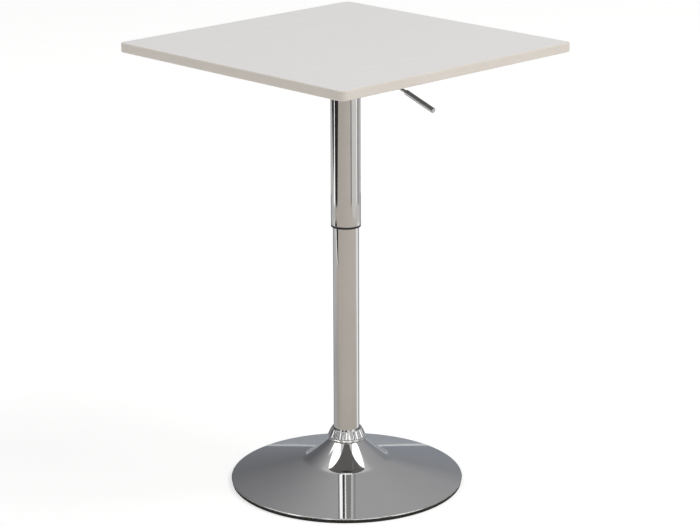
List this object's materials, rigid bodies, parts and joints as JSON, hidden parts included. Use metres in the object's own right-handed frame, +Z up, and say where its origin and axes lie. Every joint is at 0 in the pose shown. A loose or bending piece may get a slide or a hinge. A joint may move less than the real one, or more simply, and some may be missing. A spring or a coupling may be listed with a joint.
{
  "type": "bistro table",
  "caption": "Square-topped bistro table on a chromed trumpet base, with a gas lift column that slides and swivels and a release lever under the top.",
  "frame": {"origin": "on the floor at the centre of the base, below the column's axis", "axes": "+Z up along the column, X and Y along the sides of the top, the lever pointing along -Y"},
  "size_m": [0.603, 0.603, 0.88],
  "materials": {
    "chrome": "bright mirror chrome plate",
    "laminate": "satin off-white laminate with a very faint straight grain",
    "edging": "satin off-white edging, slightly warmer than the top",
    "board": "raw medium density fibreboard",
    "backer": "matt grey-brown backing sheet",
    "black_plastic": "moulded black plastic, fine matt grain",
    "rubber": "matt black rubber",
    "black_steel": "black powder coat",
    "steel": "bright zinc plated or ground steel",
    "iron": "rough cast iron"
  },
  "bodies": {
    "base": {"base_dish": "chrome", "base_collar": "chrome", "floor_ring": "rubber", "ballast_disc": "iron", "bottom_cover": "black_steel", "base_bolt": "steel", "base_washer": "steel", "column_tube": "chrome", "column_foot": "steel", "rod_seat_plate": "steel", "guide_bush": "black_plastic", "lower_race": "steel"},
    "rod": {"ball_cage": "steel", "upper_race": "steel", "rod_bumper": "rubber", "piston_rod": "steel", "rod_clip": "steel", "piston": "steel", "piston_nut": "steel"},
    "lift": {"pressure_tube": "steel", "rod_gland": "black_plastic", "valve_body": "steel", "mechanism_plate": "black_steel", "taper_hub": "steel", "plate_screw_1": "steel", "plate_screw_2": "steel", "plate_screw_3": "steel", "plate_screw_4": "steel", "column_sleeve": "chrome", "sleeve_spacer": "black_plastic", "sleeve_ring": "black_plastic", "top_board": "board", "backer_sheet": "backer", "top_laminate": "laminate", "edge_band": "edging", "lever_bracket": "steel", "lever_pin": "steel"},
    "lever": {"lever_rod": "chrome", "lever_grip": "chrome"},
    "button": {"release_button": "steel"}
  },
  "joints": [
    {"name": "swivel", "type": "hinge", "parent": "base", "child": "rod", "pos_m": [0, 0, 0.069], "axis": [0, 0, 1], "continuous": true},
    {"name": "height", "type": "slide", "parent": "rod", "child": "lift", "axis": [0, 0, 1], "range_m": [-0.042, 0.148]},
    {"name": "lever_lift", "type": "hinge", "parent": "lift", "child": "lever", "pos_m": [0, -0.042, 0.8378], "axis": [-1, 0, 0], "range_deg": [0, 5], "stiffness_Nm_per_rad": 3, "springref_deg": -5.73},
    {"name": "button_press", "type": "slide", "parent": "lift", "child": "button", "axis": [0, 0, -1], "range_m": [0, 0.004], "stiffness_N_per_m": 1000, "springref_m": -0.002}
  ],
  "couplings": [
    {"joint": "button_press", "follows": "lever_lift", "m_per_rad": 0.042}
  ]
}
